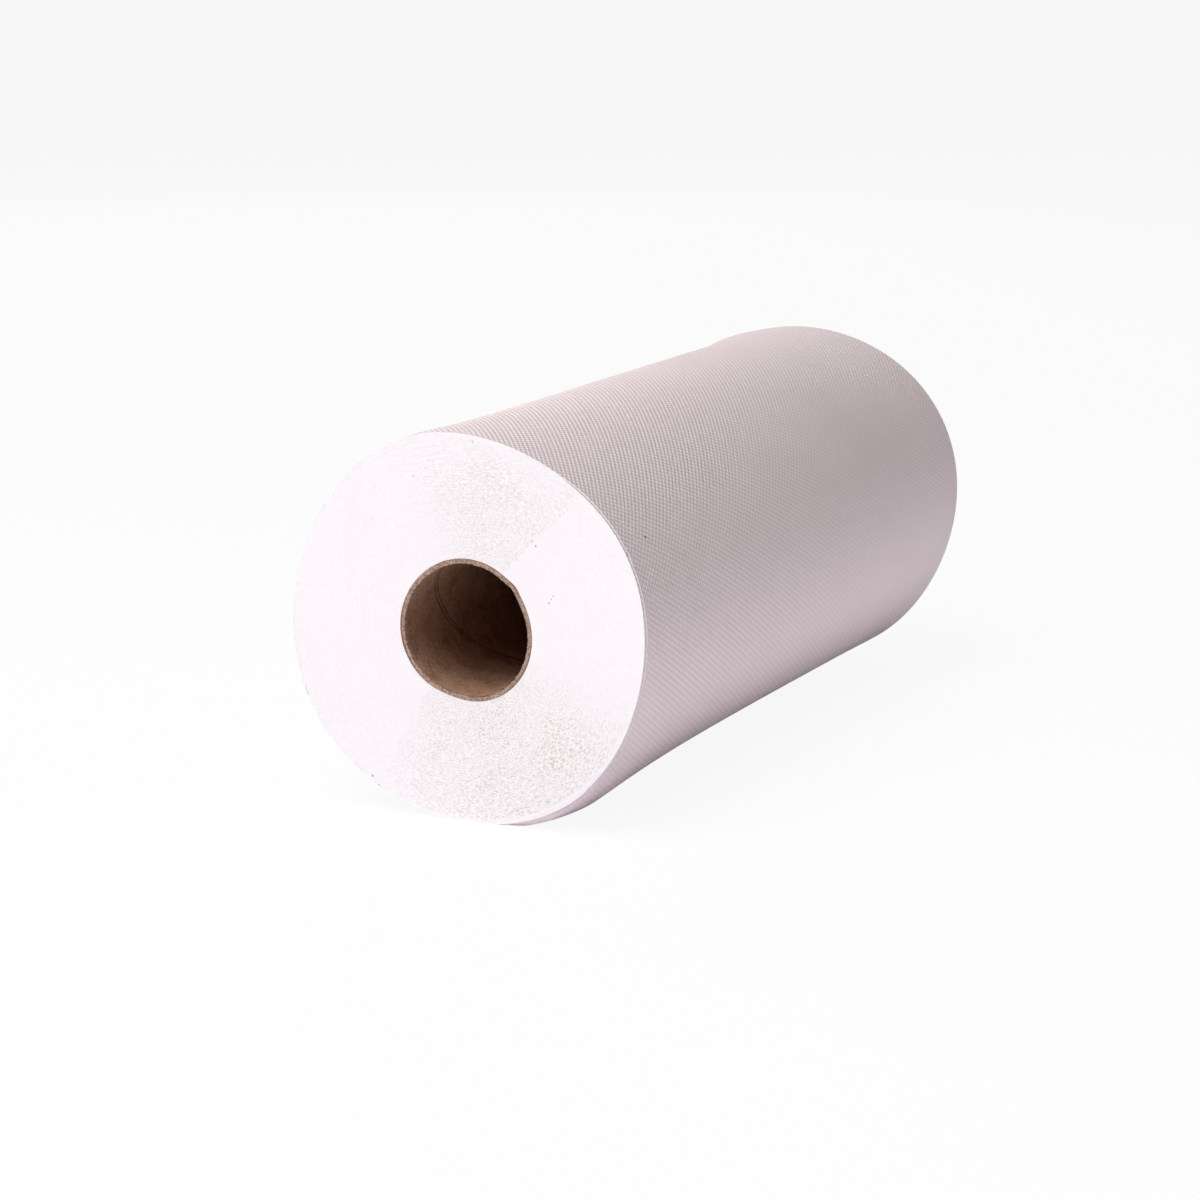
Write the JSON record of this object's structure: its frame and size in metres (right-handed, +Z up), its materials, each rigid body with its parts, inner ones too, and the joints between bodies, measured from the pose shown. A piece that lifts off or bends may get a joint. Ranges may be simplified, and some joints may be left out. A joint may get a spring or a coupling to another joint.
{
  "type": "exam table paper roll",
  "caption": "White embossed paper wound in one spiral on a plain cardboard core, lying on its side on a small flat spot.",
  "frame": {"origin": "middle of the roll's footprint, on the surface that it lies on", "axes": "+Y along the roll and its core, from the near end to the far end; +Z up"},
  "size_m": [0.1176, 0.25, 0.1164],
  "materials": {
    "white_paper": "soft matte white tissue, finely embossed on the outside, with close winding lines on both cut ends",
    "brown_board": "matte grey-brown board wound in spiral plies, rough where it is cut"
  },
  "bodies": {
    "root": {"paper_roll": "white_paper", "core_tube": "brown_board"}
  },
  "joints": []
}
